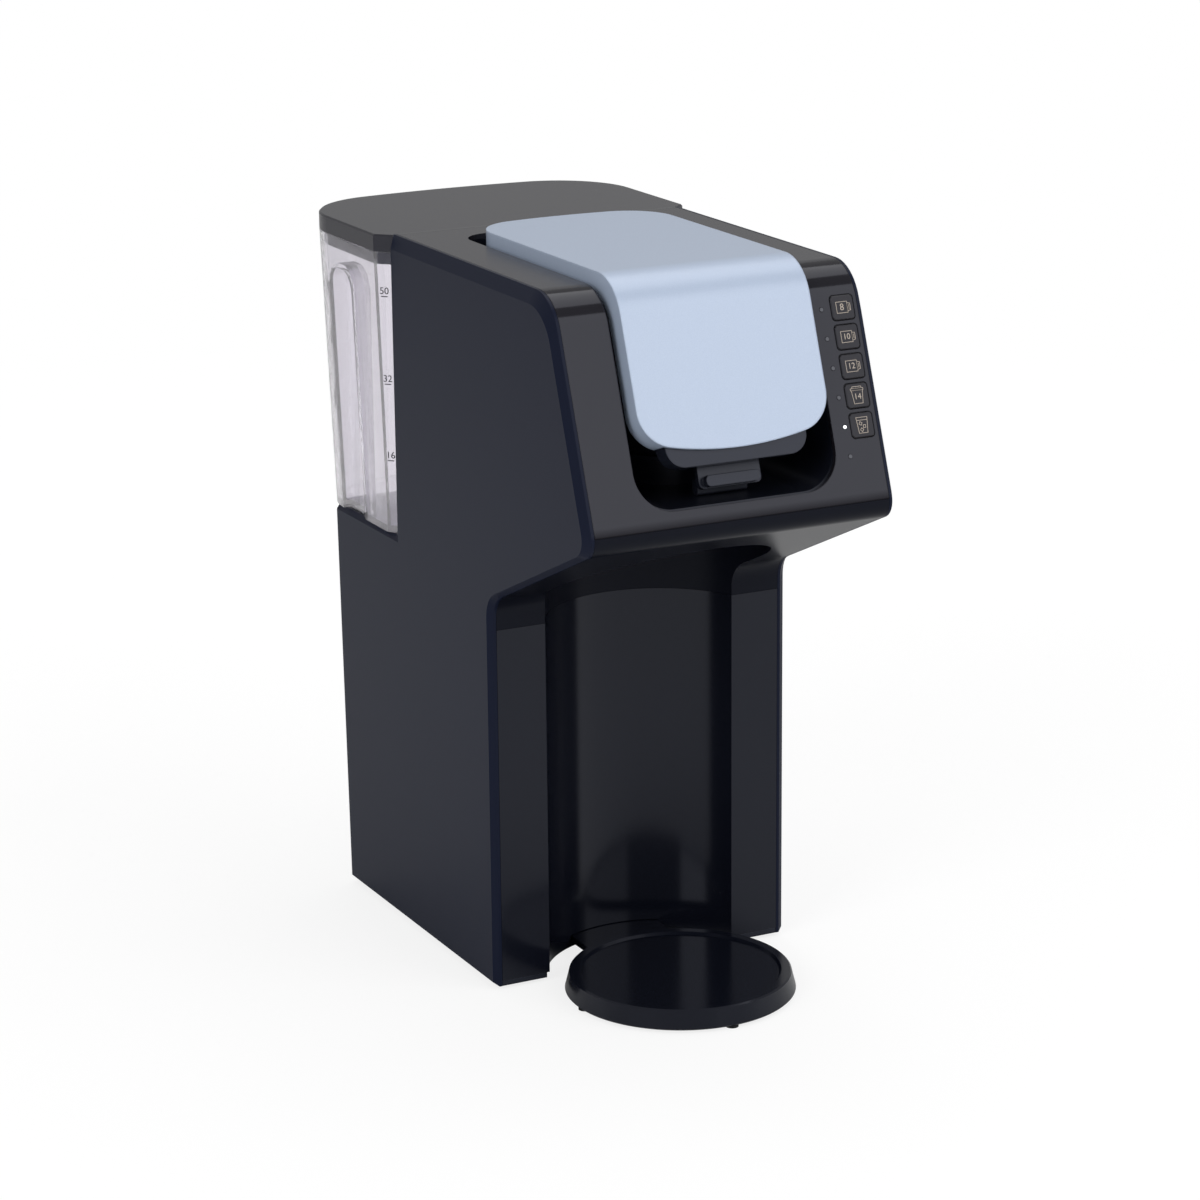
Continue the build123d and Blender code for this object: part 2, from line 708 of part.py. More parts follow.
# Tank lid: a shallow cap with a skirt inside the tank's rim and a finger dip at its back
with BuildPart() as tank_lid:
    with BuildSketch(Plane.XY.offset(tank_rim + 0.3)):
        add(tank_plan())
    extrude(amount=tank_lid_top - tank_rim - 0.3)
    chamfer(tank_lid.edges().group_by(Axis.Z)[-1], 0.8)
    with BuildSketch(Plane.XY.offset(tank_rim - tank_lid_skirt)):
        add(tank_plan(tank_wall + 0.8))
    extrude(amount=tank_lid_skirt + 1)
    with BuildSketch(Plane.XY.offset(tank_rim - tank_lid_skirt)):
        add(tank_plan(tank_wall + 2.8))
    extrude(amount=tank_lid_skirt + tank_lid_top - tank_rim - tank_wall, mode=Mode.SUBTRACT)
save(tank_lid.part, "tank_lid", satin_black)

# Cup rest: a dished disc with a tongue that slides in under the bay wall
dish_top = rest_height - rest_dish_depth
rest_bevel = 0.7
with BuildPart() as cup_rest:
    with BuildSketch(Plane(origin=(0, rest_y, 0), x_dir=(1, 0, 0), z_dir=(0, -1, 0))):
        with BuildLine():
            Polyline(
                (0, dish_top - rest_wall),
                (rest_dish_radius, dish_top - rest_wall),
                (rest_dish_radius, rest_lift),
                (rest_radius - rest_bevel, rest_lift),
                (rest_radius, rest_lift + rest_bevel),
                (rest_top_radius, rest_height - rest_bevel),
                (rest_top_radius - rest_bevel, rest_height),
                (rest_dish_radius + rest_dish_depth, rest_height),
                (rest_dish_radius, dish_top),
                (0, dish_top),
                close=True,
            )
        make_face()
    revolve(axis=Axis((0, rest_y, 0), (0, 0, 1)))
    with BuildSketch(Plane.XY.offset(tongue_bottom)):
        plan_box(rest_tongue_width / 2, rest_y + rest_dish_radius, pillar_y + rest_tongue_length)
    extrude(amount=tongue_top - tongue_bottom)
    with BuildSketch(Plane.XY.offset(tongue_bottom + 1.2)):
        plan_box(rest_tongue_width / 4, pillar_y + 44, pillar_y + rest_tongue_length - 4)
    extrude(amount=5, mode=Mode.SUBTRACT)
save(cup_rest.part, "cup_rest", gloss_black)

pad_spots = [
    (50 * sin(radians(turn)), rest_y - 50 * cos(radians(turn))) for turn in (0, 90, 180, 270)
]
with BuildPart() as cup_rest_pads:
    with BuildSketch(Plane.XY):
        with Locations(*pad_spots):
            Circle(3)
    extrude(amount=rest_lift)
save(cup_rest_pads.part, "cup_rest_pads", dark_rubber)

# Brew lid: a curved cover that runs over the top and down the front


def lid_profile(inset, depth, end_inset):
    """The lid's side outline from inset to depth under its outer face, drawn in at both ends."""
    foot = Vector(0, face_y(lid_lower_edge), lid_lower_edge) + face_out * (lid_proud - inset)
    foot += Vector(0, -face_out.Y * face_slope * end_inset, cos(radians(face_tilt)) * end_inset)
    back = foot - face_out * (depth - inset)
    rear = pillar_y + lid_rear - end_inset
    outer_y = face_y(lid_top - inset, lid_proud - inset)
    inner_y = face_y(lid_top - depth, lid_proud - depth)
    corners = [
        (foot.Y, foot.Z, 0),
        (outer_y, lid_top - inset, lid_crease_radius - inset),
        (rear, lid_top - inset, 0),
        (rear, lid_top - depth, 0),
        (inner_y, lid_top - depth, max(lid_crease_radius - depth, 1)),
        (back.Y, back.Z, 0),
    ]
    return side_face(corners)


def lid_plan(inset):
    """The lid's outline seen from above, its rear edge bowed, drawn in by inset."""
    side = lid_half_width - inset
    rear = pillar_y + lid_rear - inset
    with BuildSketch() as plan:
        with BuildLine():
            Polyline(
                (-side, rear - lid_rear_bow),
                (-side, front_y - 20),
                (side, front_y - 20),
                (side, rear - lid_rear_bow),
            )
            ThreePointArc((side, rear - lid_rear_bow), (0, rear), (-side, rear - lid_rear_bow))
        make_face()
        fillet(plan.vertices().group_by(Axis.Y)[-1], lid_rear_corner - inset)
    return plan.sketch


def lid_front(inset):
    """The lid's outline seen square on to its front face, its lower edge bowed, drawn in by inset."""
    side = lid_half_width - inset
    with BuildSketch() as front:
        with BuildLine():
            Polyline(
                (-side, inset + lid_front_bow), (-side, 200), (side, 200), (side, inset + lid_front_bow)
            )
            ThreePointArc((side, inset + lid_front_bow), (0, inset), (-side, inset + lid_front_bow))
        make_face()
        fillet(front.vertices().group_by(Axis.Y)[0], lid_front_corner - inset)
    return front.sketch


def lid_block(inset, depth):
    """The lid's solid from inset to depth under its outer face, with all its rounded outlines."""
    with BuildPart() as block:
        with BuildSketch(Plane.YZ.offset(-lid_half_width)):
            add(lid_profile(inset, depth, 0))
        extrude(amount=2 * lid_half_width)
        with BuildSketch(Plane.XY.offset(lid_lower_edge - 30)):
            add(lid_plan(inset))
        extrude(amount=120, mode=Mode.INTERSECT)
        with BuildSketch(face_plane(0, lid_lower_edge, 160)):
            add(lid_front(inset))
        extrude(amount=260, mode=Mode.INTERSECT)
    return block.part


with BuildPart() as lid_cover:
    add(lid_block(0, lid_skirt))
    add(lid_block(lid_wall, 3 * lid_skirt), mode=Mode.SUBTRACT)
    with BuildSketch(face_plane(0, lid_lower_edge, 3 * lid_skirt)):
        Rectangle(2 * band_half_width + 1, 2 * (lid_front_bow + lid_wall))
    extrude(amount=3 * lid_skirt + lid_proud - lid_wall, mode=Mode.SUBTRACT)
    # Notches in the rear skirt, so that it passes the hinge ears as the lid opens
    for side in (-1, 1):
        with BuildSketch(Plane.XY.offset(lid_top - lid_skirt - 1)):
            with Locations((side * (hinge_span - hinge_ear_width / 2), pillar_y + lid_rear)):
                Rectangle(hinge_ear_width + 2 * running_gap, 2 * (lid_rear - hinge_reach))
        extrude(amount=lid_skirt + 1 - lid_wall, mode=Mode.SUBTRACT)
save(lid_cover.part, "lid_cover", ice_blue)

# Lid liner: the black inner shell with the needle's boss and the hinge knuckles
knuckle_half = hinge_span - hinge_ear_width - running_gap
latch_plane = face_plane(0, latch_pivot_height, latch_depth)
latch_axis = face_plane(0, latch_pivot_height, latch_depth - latch_thickness / 2).origin
latch_axis_plane = Plane(origin=latch_axis, z_dir=(1, 0, 0))
with BuildPart() as lid_liner:
    with BuildSketch(Plane.YZ.offset(-liner_half_width)):
        add(lid_profile(lid_wall, lid_wall + liner_thickness, lid_rear_bow + lid_wall))
    extrude(amount=2 * liner_half_width)
    with BuildSketch(Plane.XY.offset(lid_lower_edge - 30)):
        add(lid_plan(lid_wall))
    extrude(amount=120, mode=Mode.INTERSECT)
    with BuildSketch(face_plane(0, lid_lower_edge, 160)):
        add(lid_front(lid_wall))
    extrude(amount=260, mode=Mode.INTERSECT)
    with BuildSketch(Plane.XY.offset(boss_bottom)):
        with Locations((0, basket_y)):
            Circle(boss_reach_radius)
    extrude(amount=lid_top - lid_wall - 1 - boss_bottom)
    for x in (-knuckle_half, knuckle_half - 8):
        with BuildSketch(Plane.YZ.offset(x)):
            with Locations((hinge_y, hinge_height)):
                Circle(hinge_knuckle_radius)
            with Locations((hinge_y, (hinge_height + lid_top - lid_wall - 0.5) / 2)):
                Rectangle(2 * hinge_knuckle_radius, lid_top - lid_wall - 0.5 - hinge_height)
        extrude(amount=8)
    with BuildSketch(Plane.YZ.offset(-hinge_span)):
        with Locations((hinge_y, hinge_height)):
            Circle(hinge_pin_radius + 0.3)
    extrude(amount=2 * hinge_span, mode=Mode.SUBTRACT)
    with BuildSketch(face_plane(0, lid_lower_edge - band_drop, band_depth)):
        with Locations((0, 14)):
            RectangleRounded(2 * band_half_width, 28, 9)
    extrude(amount=band_depth + lid_proud - lid_wall)
    for side in (-1, 1):
        cheek_x = side * (latch_half_width + running_gap + 1.5)
        with BuildSketch(face_plane(cheek_x, latch_pivot_height, latch_depth + 1)):
            RectangleRounded(3, 7, 1)
        extrude(amount=latch_depth + 1 + lid_proud - lid_wall - 0.5)
    with BuildSketch(latch_axis_plane):
        Circle(0.8)
    extrude(amount=latch_half_width + 3, both=True, mode=Mode.SUBTRACT)
save(lid_liner.part, "lid_liner", satin_black)

# Upper needle and the gasket round it, under the boss
with BuildPart() as upper_needle:
    with BuildSketch(Plane.XY.offset(needle_tip)):
        with Locations((0, basket_y)):
            Circle(0.5)
    extrude(amount=6, taper=-10)
    with BuildSketch(Plane.XY.offset(needle_tip + 5)):
        with Locations((0, basket_y)):
            Circle(needle_radius)
    extrude(amount=boss_bottom - needle_tip - 6.4)
    with BuildSketch(Plane.XY.offset(boss_bottom - 1.4)):
        with Locations((0, basket_y)):
            Circle(6)
    extrude(amount=1.4)
save(upper_needle.part, "upper_needle", plain_steel)

with BuildPart() as lid_gasket:
    with BuildSketch(Plane.XY.offset(boss_bottom - 4)):
        with Locations((0, basket_y)):
            Circle(16)
            Circle(9, mode=Mode.SUBTRACT)
    extrude(amount=4)
    chamfer(lid_gasket.edges().group_by(Axis.Z)[0], 1.2)
save(lid_gasket.part, "lid_gasket", dark_rubber)

# Latch: a sprung plate under the lid's front lip, on a pin between the liner's cheeks
latch_length = (latch_pivot_height - latch_bottom_height) / cos(radians(face_tilt))
with BuildPart() as lid_latch:
    with BuildSketch(latch_plane):
        with Locations((0, -latch_length / 2 + 1)):
            RectangleRounded(2 * latch_half_width, latch_length + 4, 2.5)
    extrude(amount=latch_thickness)
    with BuildSketch(latch_plane):
        with Locations((0, 2 - latch_length)):
            RectangleRounded(2 * latch_half_width - 8, 4, 1)
    extrude(amount=-2.5)
    with BuildSketch(latch_plane):
        with Locations((0, 2 - latch_length)):
            RectangleRounded(2 * latch_half_width - 4, 5, 2)
    extrude(amount=latch_thickness + 3.5)
    with BuildSketch(latch_axis_plane):
        Circle(0.9)
    extrude(amount=40, both=True, mode=Mode.SUBTRACT)
save(lid_latch.part, "lid_latch", satin_black)

with BuildPart() as latch_pin:
    with BuildSketch(latch_axis_plane):
        Circle(0.8)
    extrude(amount=latch_half_width + 3, both=True)
save(latch_pin.part, "latch_pin", plain_steel)

# Buttons, each a cap with a flange behind the panel and a stem
for label, z in zip(button_names, button_heights):
    with BuildPart() as button:
        with BuildSketch(face_plane(button_x, z, panel_wall + running_gap)):
            RectangleRounded(button_size, button_height, button_corner)
        extrude(amount=panel_wall + running_gap + button_proud)
        chamfer(button.faces().sort_by(Axis((0, 0, 0), tuple(face_out)))[-1].edges(), 0.4)
        with BuildSketch(face_plane(button_x, z, panel_wall + running_gap + 1.2)):
            RectangleRounded(
                button_size + 2 * button_flange, button_height + 2 * button_flange, button_corner
            )
        extrude(amount=1.2)
        with BuildSketch(face_plane(button_x, z, panel_wall + running_gap + 2.6)):
            Circle(2)
        extrude(amount=1.4)
    save(button.part, label, satin_black)

# Control board on two posts of the front panel, its rubber domes and its six lights
board_low, board_high = post_heights[1] - 3, post_heights[0] + 3
with BuildPart() as control_board:
    with BuildSketch(face_plane(button_x - 2.6, (board_low + board_high) / 2, board_depth)):
        Rectangle(20, (board_high - board_low) / cos(radians(face_tilt)))
    extrude(amount=-board_thickness)
save(control_board.part, "control_board", (0.05, 0.2, 0.1))

with BuildPart() as button_domes:
    for z in button_heights:
        with BuildSketch(face_plane(button_x, z, board_depth)):
            Circle(3.4)
        extrude(amount=2.0)
save(button_domes.part, "button_domes", dark_rubber)

with BuildPart() as indicator_lights:
    for x, z in light_spots:
        with BuildSketch(face_plane(x, z, board_depth)):
            Circle(light_radius)
        extrude(amount=board_depth + 0.15)
save(indicator_lights.part, "indicator_lights", (0.9, 0.9, 0.9))

# Pump, heater and the tubes between the tank's seat and the well
pump_x, pump_y, pump_radius, pump_height = -32.0, pillar_y + 90, 19.0, 66.0
heater_x, heater_y, heater_height = 47.0, pillar_y + 78, 84.0
tube_outer, tube_inner = 4.2, 3.0
with BuildPart() as pump:
    with BuildSketch(Plane.XY.offset(base_top)):
        with Locations((pump_x, pump_y)):
            Circle(pump_radius)
    extrude(amount=pump_height - base_top)
    chamfer(pump.edges().group_by(Axis.Z)[-1], 2)
    with BuildSketch(Plane.XY.offset(pump_height)):
        with Locations((pump_x, pump_y)):
            Circle(tube_inner)
    extrude(amount=12)
save(pump.part, "pump", satin_black)

with BuildPart() as heater:
    with BuildSketch(Plane.XY.offset(base_top)):
        with Locations((heater_x, heater_y)):
            RectangleRounded(38, 34, 6)
    extrude(amount=heater_height - base_top)
    with BuildSketch(Plane.XY.offset(base_top)):
        with Locations((heater_x, heater_y)):
            RectangleRounded(44, 40, 4)
    extrude(amount=2.5)
    with BuildSketch(Plane.XY.offset(heater_height)):
        with Locations((heater_x, heater_y)):
            Circle(tube_inner)
    extrude(amount=12)
save(heater.part, "heater", plain_steel)


def tube(points, bend):
    """A hose through points with rounded bends."""
    with BuildPart() as hose:
        with BuildLine() as path:
            Polyline(*points)
            fillet(path.vertices().sort_by_distance(Vector(*points[0]))[1:-1], bend)
        with BuildSketch(Plane(origin=points[0], z_dir=path.line % 0)):
            Circle(tube_outer)
            Circle(tube_inner, mode=Mode.SUBTRACT)
        sweep()
    return hose.part


seat_tail = seat_bottom - 10
inlet_tube = tube(
    [
        (0, valve_y, seat_tail),
        (0, valve_y, shelf_height - 56),
        (pump_x, pump_y, shelf_height - 81),
        (pump_x, pump_y, pump_height),
    ],
    12,
)
save(inlet_tube, "inlet_tube", pale_plastic)

with BuildPart() as link_tube:
    with BuildSketch(Plane.YZ.offset(pump_x + pump_radius)):
        with Locations((pump_y, base_top + 34)):
            Circle(tube_outer)
            Circle(tube_inner, mode=Mode.SUBTRACT)
    extrude(until=Until.NEXT, target=heater.part)
save(link_tube.part, "link_tube", pale_plastic)

riser_tube = tube(
    [
        (heater_x, heater_y, heater_height),
        (heater_x, heater_y, deck_height - 52),
        (heater_x, pillar_y + well_back + well_wall, deck_height - 52),
    ],
    14,
)
save(riser_tube, "riser_tube", pale_plastic)
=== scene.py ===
"""Looks of a single-cup pod coffee maker, round its fixed CAD frame.

The script gives the CAD pieces their finishes and adds the printed marks, a lit light, the studio
and the camera. Metres, +Z up, -Y towards the user.
"""

from math import cos, pi, radians, sin, tan

import bpy
from mathutils import Matrix, Vector


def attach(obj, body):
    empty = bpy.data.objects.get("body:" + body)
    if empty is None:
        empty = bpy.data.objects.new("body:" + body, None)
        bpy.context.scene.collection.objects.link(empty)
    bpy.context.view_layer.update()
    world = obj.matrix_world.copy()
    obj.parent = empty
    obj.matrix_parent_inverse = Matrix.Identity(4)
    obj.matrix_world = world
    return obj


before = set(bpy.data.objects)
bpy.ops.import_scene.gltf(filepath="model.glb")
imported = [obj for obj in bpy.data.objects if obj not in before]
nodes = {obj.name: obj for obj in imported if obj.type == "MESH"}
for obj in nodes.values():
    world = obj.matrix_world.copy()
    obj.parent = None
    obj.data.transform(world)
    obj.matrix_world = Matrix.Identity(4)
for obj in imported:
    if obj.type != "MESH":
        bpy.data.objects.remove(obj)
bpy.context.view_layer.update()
bpy.ops.object.select_all(action="DESELECT")

# Casing
PILLAR_Y = -0.055  # the pillar fronts beside the cup bay
FACE_TILT = radians(19.8)  # the control face's lean from upright
FACE_FOOT_Y = PILLAR_Y - 0.1005
FACE_FOOT_Z = 0.2417
LIP_HEIGHT = 0.004  # of the control face's rounded lower lip
DECK_BACK_Y = PILLAR_Y + 0.102

# Buttons and lights
BUTTONS = ["button_8_oz", "button_10_oz", "button_12_oz", "button_14_oz", "button_iced"]
BUTTON_X = 0.0656
BUTTON_TOP_Z = 0.3237
BUTTON_PITCH = 0.01325  # down the control face
BUTTON_PROUD = 0.0005
LIGHT_X = 0.0549  # of the top light
LIGHT_STEP = 0.00046  # of each next light to the right
LIGHT_RADIUS = 0.00078
LIGHT_PROUD = 0.0002
LIT_ROW = 4

# Water tank
TANK_HALF_WIDTH = 0.082
TANK_GAP = 0.0008
TANK_CORNER = 0.007
TANK_MARKS = {"50": 0.3119, "32": 0.2695, "16": 0.2320}  # number and its height
TANK_MARK_TURN = radians(42)  # from the tank's side towards its front
TANK_TEXT = 0.0047
TANK_TEXT_RISE = 0.0026  # over its tick

# Print
PRINT_THICKNESS = 0.00006
LINE = 0.00021
MARK_SCALE = 1.14
ONE_DIGIT = 0.0038  # heights of the buttons' lettering
TWO_DIGITS = 0.0033


# Camera
CAMERA_AZIMUTH = radians(-26.82)
CAMERA_ELEVATION = radians(15.92)
CAMERA_ROLL = radians(-0.55)
CAMERA_DISTANCE = 1.7159
CAMERA_TARGET = Vector((-0.02045, PILLAR_Y, 0.18264))
CAMERA_LENS = 111.7
CAMERA_SENSOR = 36


def place_camera():
    """The camera at the photograph's viewing angle."""
    a, e, r = CAMERA_AZIMUTH, CAMERA_ELEVATION, CAMERA_ROLL
    back = Vector((sin(a) * cos(e), -cos(a) * cos(e), sin(e)))
    right = Vector((cos(a), sin(a), 0))
    up = back.cross(right)
    rolled_right = cos(r) * right + sin(r) * up
    rolled_up = cos(r) * up - sin(r) * right
    data = bpy.data.cameras.new("photo_camera")
    data.lens = CAMERA_LENS
    data.sensor_width = CAMERA_SENSOR
    camera = bpy.data.objects.new("photo_camera", data)
    bpy.context.scene.collection.objects.link(camera)
    turn = Matrix((rolled_right, rolled_up, back)).transposed().to_4x4()
    camera.matrix_world = Matrix.Translation(CAMERA_TARGET + back * CAMERA_DISTANCE) @ turn
    bpy.context.scene.camera = camera


# Studio
FLOOR_SIZE = 16
FLOOR_COLOUR = (0.8, 0.8, 0.8, 1)
FLOOR_SHADE = 0.3  # how much of the lit floor the camera sees beside the machine
FLOOR_GLOW = 1.15  # the white mixed with it there
FADE_START, FADE_END = 0.35, 1.4  # distances over which the floor fades to plain white
SURROUND_LIGHT = 0.4


def soft_lamp(name, place, aim, size, power):
    """A soft box of that width and height, pointed at a place on the machine."""
    data = bpy.data.lights.new(name, "AREA")
    data.shape = "RECTANGLE"
    data.size, data.size_y = size
    data.energy = power
    lamp = bpy.data.objects.new(name, data)
    bpy.context.scene.collection.objects.link(lamp)
    lamp.location = place
    lamp.rotation_euler = (Vector(aim) - Vector(place)).to_track_quat("-Z", "Y").to_euler()


def pale_floor_paint():
    """The floor: near white to the camera and through the clear tank, with the machine's shadow kept."""
    paint = bpy.data.materials.new("pale_floor")
    paint.use_nodes = True
    tree = paint.node_tree
    links = tree.links
    tree.nodes.clear()
    place = tree.nodes.new("ShaderNodeTexCoord")
    distance = tree.nodes.new("ShaderNodeVectorMath")
    distance.operation = "LENGTH"
    shade_share = fading(tree, distance, FLOOR_SHADE, 0)
    glow = fading(tree, distance, FLOOR_GLOW, 1)
    lit = tree.nodes.new("ShaderNodeBsdfDiffuse")
    lit.inputs["Color"].default_value = FLOOR_COLOUR
    white = tree.nodes.new("ShaderNodeEmission")
    seen = tree.nodes.new("ShaderNodeMixShader")
    choose = tree.nodes.new("ShaderNodeMixShader")
    out = tree.nodes.new("ShaderNodeOutputMaterial")
    links.new(place.outputs["Object"], distance.inputs[0])
    links.new(glow.outputs["Result"], white.inputs["Strength"])
    links.new(shade_share.outputs["Result"], seen.inputs["Fac"])
    links.new(white.outputs["Emission"], seen.inputs[1])
    links.new(lit.outputs["BSDF"], seen.inputs[2])
    links.new(seen_directly(tree).outputs["Value"], choose.inputs["Fac"])
    links.new(lit.outputs["BSDF"], choose.inputs[1])
    links.new(seen.outputs["Shader"], choose.inputs[2])
    links.new(choose.outputs["Shader"], out.inputs["Surface"])
    return paint


def fading(tree, distance, near, far):
    """A value that goes from near, beside the machine, to far, out on the floor."""
    value = tree.nodes.new("ShaderNodeMapRange")
    value.inputs["From Min"].default_value = FADE_START
    value.inputs["From Max"].default_value = FADE_END
    value.inputs["To Min"].default_value = near
    value.inputs["To Max"].default_value = far
    tree.links.new(distance.outputs["Value"], value.inputs["Value"])
    return value


def seen_directly(tree):
    """One for what the camera sees itself or through clear plastic, else nought."""
    path = tree.nodes.new("ShaderNodeLightPath")
    either = tree.nodes.new("ShaderNodeMath")
    either.operation = "MAXIMUM"
    tree.links.new(path.outputs["Is Camera Ray"], either.inputs[0])
    tree.links.new(path.outputs["Is Transmission Ray"], either.inputs[1])
    return either


def build_studio():
    """A pale floor, a white surround and soft lamps."""
    bpy.ops.mesh.primitive_plane_add(size=FLOOR_SIZE, location=(0, 0, 0))
    floor = bpy.context.object
    floor.name = "studio_floor"
    floor.data.materials.append(pale_floor_paint())
    world = bpy.data.worlds.new("studio")
    bpy.context.scene.world = world
    world.use_nodes = True
    tree = world.node_tree
    background = tree.nodes["Background"]
    background.inputs["Color"].default_value = (1, 1, 1, 1)
    strength = tree.nodes.new("ShaderNodeMapRange")
    strength.inputs["To Min"].default_value = SURROUND_LIGHT
    strength.inputs["To Max"].default_value = 1.0
    tree.links.new(seen_directly(tree).outputs["Value"], strength.inputs["Value"])
    tree.links.new(strength.outputs["Result"], background.inputs["Strength"])
    soft_lamp("front_lamp", (1.5, -2.5, 1.7), (0, -0.1, 0.25), (3.0, 2.6), 40)
    soft_lamp("top_lamp", (0.6, 0.6, 2.4), (0, 0, 0.3), (2.2, 1.6), 16)
    soft_lamp("left_lamp", (-2.4, -1.2, 1.5), (0, 0, 0.25), (1.4, 1.6), 24)


# Finishes
SHEEN_TINT = (0.84, 0.87, 1.0, 1)  # a faint blue in the plastics' reflections
NO_TINT = (1, 1, 1, 1)
FLAKE_SCALE = 2600
DARK_FLAKE, PALE_FLAKE = (0.46, 0.55, 0.71, 1), (0.50, 0.59, 0.75, 1)


def finish(name, colour, roughness, specular=0.5, metallic=0.0, coat=0.0, coat_roughness=0.1):
    """A finish of one colour."""
    material = bpy.data.materials.new(name)
    material.use_nodes = True
    shader = material.node_tree.nodes["Principled BSDF"]
    shader.inputs["Base Color"].default_value = (*colour, 1)
    shader.inputs["Roughness"].default_value = roughness
    shader.inputs["Metallic"].default_value = metallic
    shader.inputs["Specular IOR Level"].default_value = specular
    shader.inputs["Specular Tint"].default_value = SHEEN_TINT
    shader.inputs["Coat Weight"].default_value = coat
    shader.inputs["Coat Roughness"].default_value = coat_roughness
    return material


def grained(material, grain, depth, mottle=0.0):
    """Fine moulded texture: a small bump of that grain size, with a faint mottle in the roughness."""
    tree = material.node_tree
    shader = tree.nodes["Principled BSDF"]
    place = tree.nodes.new("ShaderNodeTexCoord")
    noise = tree.nodes.new("ShaderNodeTexNoise")
    noise.inputs["Scale"].default_value = 1 / grain
    noise.inputs["Detail"].default_value = 2
    bump = tree.nodes.new("ShaderNodeBump")
    bump.inputs["Strength"].default_value = 1
    bump.inputs["Distance"].default_value = depth
    tree.links.new(place.outputs["Object"], noise.inputs["Vector"])
    tree.links.new(noise.outputs["Fac"], bump.inputs["Height"])
    tree.links.new(bump.outputs["Normal"], shader.inputs["Normal"])
    if mottle:
        spread = tree.nodes.new("ShaderNodeMapRange")
        base = shader.inputs["Roughness"].default_value
        spread.inputs["To Min"].default_value = base - mottle
        spread.inputs["To Max"].default_value = base + mottle
        tree.links.new(noise.outputs["Fac"], spread.inputs["Value"])
        tree.links.new(spread.outputs["Result"], shader.inputs["Roughness"])
    return material


def softened_edges(material, radius):
    """Rounds the shading of sharp edges, so that they catch the light."""
    tree = material.node_tree
    edges = tree.nodes.new("ShaderNodeBevel")
    edges.samples = 4
    edges.inputs["Radius"].default_value = radius
    for socket in ("Normal", "Coat Normal"):
        tree.links.new(edges.outputs["Normal"], tree.nodes["Principled BSDF"].inputs[socket])
    return material


def painted_shade_below(material, share, low, high):
    """Painted shade: cuts the sheen to that share under the height low, rising to the whole at the height
    high.
    """
    tree = material.node_tree
    sheen = tree.nodes["Principled BSDF"].inputs["Specular IOR Level"]
    place = tree.nodes.new("ShaderNodeTexCoord")
    height = tree.nodes.new("ShaderNodeSeparateXYZ")
    level = tree.nodes.new("ShaderNodeMapRange")
    level.inputs["From Min"].default_value = low
    level.inputs["From Max"].default_value = high
    level.inputs["To Min"].default_value = sheen.default_value * share
    level.inputs["To Max"].default_value = sheen.default_value
    tree.links.new(place.outputs["Object"], height.inputs["Vector"])
    tree.links.new(height.outputs["Z"], level.inputs["Value"])
    tree.links.new(level.outputs["Result"], sheen)
    return material


def metallic_paint():
    """The lid's pale blue paint, whose fine flakes shift its colour a little under a clear coat."""
    blue = (0.48, 0.57, 0.73)
    material = finish("lid_blue_paint", blue, 0.42, metallic=0.12, coat=0.6, coat_roughness=0.25)
    tree = material.node_tree
    shader = tree.nodes["Principled BSDF"]
    shader.inputs["Specular Tint"].default_value = NO_TINT
    place = tree.nodes.new("ShaderNodeTexCoord")
    flakes = tree.nodes.new("ShaderNodeTexNoise")
    flakes.inputs["Scale"].default_value = FLAKE_SCALE
    flakes.inputs["Detail"].default_value = 1
    tint = tree.nodes.new("ShaderNodeValToRGB")
    dark, pale = tint.color_ramp.elements
    dark.position, dark.color = 0.3, DARK_FLAKE
    pale.position, pale.color = 0.7, PALE_FLAKE
    tree.links.new(place.outputs["Object"], flakes.inputs["Vector"])
    tree.links.new(flakes.outputs["Fac"], tint.inputs["Fac"])
    tree.links.new(tint.outputs["Color"], shader.inputs["Base Color"])
    return softened_edges(material, 0.0011)


def clear_plastic(name, colour, roughness, cover):
    """Clear moulded plastic, thin enough to let some light straight through."""
    material = finish(name, colour, roughness)
    shader = material.node_tree.nodes["Principled BSDF"]
    shader.inputs["Transmission Weight"].default_value = 1.0
    shader.inputs["IOR"].default_value = 1.46
    shader.inputs["Alpha"].default_value = cover
    return material


def glowing(name, colour, strength):
    """A lit lens."""
    material = finish(name, colour, 0.3)
    shader = material.node_tree.nodes["Principled BSDF"]
    shader.inputs["Emission Color"].default_value = (*colour, 1)
    shader.inputs["Emission Strength"].default_value = strength
    return material


def dress(material, *names):
    """Gives CAD nodes a finish."""
    for name in names:
        mesh = nodes[name].data
        mesh.materials.clear()
        mesh.materials.append(material)


